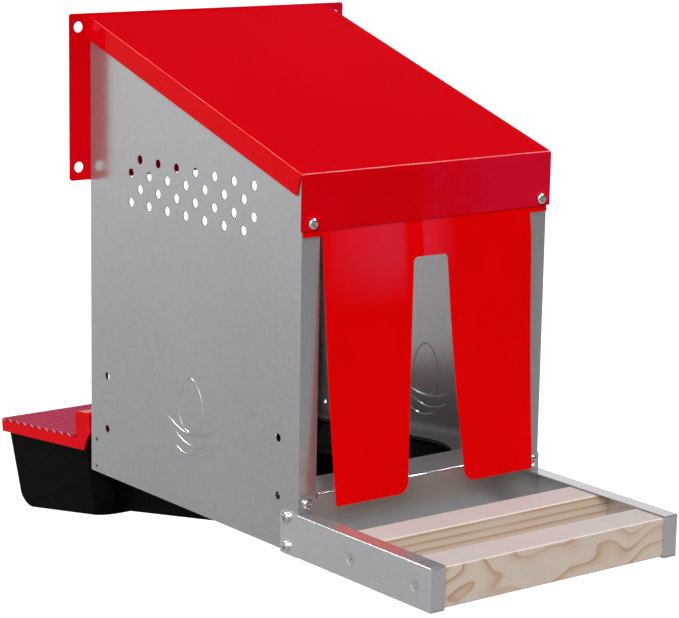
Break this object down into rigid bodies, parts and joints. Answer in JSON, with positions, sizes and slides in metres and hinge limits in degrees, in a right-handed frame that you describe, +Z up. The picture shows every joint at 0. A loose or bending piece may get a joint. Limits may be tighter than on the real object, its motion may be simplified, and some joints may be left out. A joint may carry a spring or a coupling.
{
  "type": "roll-away nest box",
  "caption": "Wall-hung roll-away nest box: sheet-metal housing with sloping roof, split flap curtain, two-bar front perch and a sliding egg tray with a hinged ribbed lid.",
  "frame": {"origin": "centre of the four wall screw holes, on the back plate's wall face", "axes": "+X to the right seen from the front, +Y into the wall, +Z up"},
  "size_m": [0.3462, 0.7815, 0.5671],
  "materials": {
    "galvanised_sheet": "galvanised, satin",
    "red_paint": "gloss",
    "curtain_sheet": "satin, flexible sheet",
    "pine": "planed, bare",
    "tray_plastic": "moulded, satin",
    "lid_plastic": "moulded, satin gloss",
    "zinc_steel": "bright zinc"
  },
  "bodies": {
    "housing": {"side_panel_left": "galvanised_sheet", "side_panel_right": "galvanised_sheet", "floor_plate": "galvanised_sheet", "threshold_plate": "galvanised_sheet", "tray_runner_left": "galvanised_sheet", "tray_runner_right": "galvanised_sheet", "perch_arm_left": "galvanised_sheet", "perch_arm_right": "galvanised_sheet", "roof": "red_paint", "back_plate": "red_paint", "curtain_strip": "curtain_sheet", "perch_bar_front": "pine", "perch_bar_rear": "pine", "perch_screws": "zinc_steel", "back_plate_rivets": "zinc_steel", "fascia_screws": "zinc_steel", "fascia_nuts": "zinc_steel", "threshold_screws": "zinc_steel", "threshold_nuts": "zinc_steel", "arm_screws": "zinc_steel", "arm_nuts": "zinc_steel"},
    "curtain_left": {"curtain_flap_left": "curtain_sheet"},
    "curtain_right": {"curtain_flap_right": "curtain_sheet"},
    "tray": {"egg_tray": "tray_plastic"},
    "lid": {"tray_lid": "lid_plastic", "lid_hinge_pin": "zinc_steel"}
  },
  "joints": [
    {"name": "curtain_left_swing", "type": "hinge", "parent": "housing", "child": "curtain_left", "pos_m": [-0.073, -0.3699, -0.1209], "axis": [-1, 0, 0], "range_deg": [-4, 75], "stiffness_Nm_per_rad": 0.2, "springref_deg": 0.69},
    {"name": "curtain_right_swing", "type": "hinge", "parent": "housing", "child": "curtain_right", "pos_m": [0.073, -0.3699, -0.1209], "axis": [-1, 0, 0], "range_deg": [-4, 75], "stiffness_Nm_per_rad": 0.2, "springref_deg": 0.69},
    {"name": "tray_slide", "type": "slide", "parent": "housing", "child": "tray", "axis": [0, 0.9958, -0.0913], "range_m": [0, 0.28]},
    {"name": "lid_hinge", "type": "hinge", "parent": "tray", "child": "lid", "pos_m": [0, 0.04629, -0.35863], "axis": [1, 0, 0], "range_deg": [0, 100]}
  ]
}
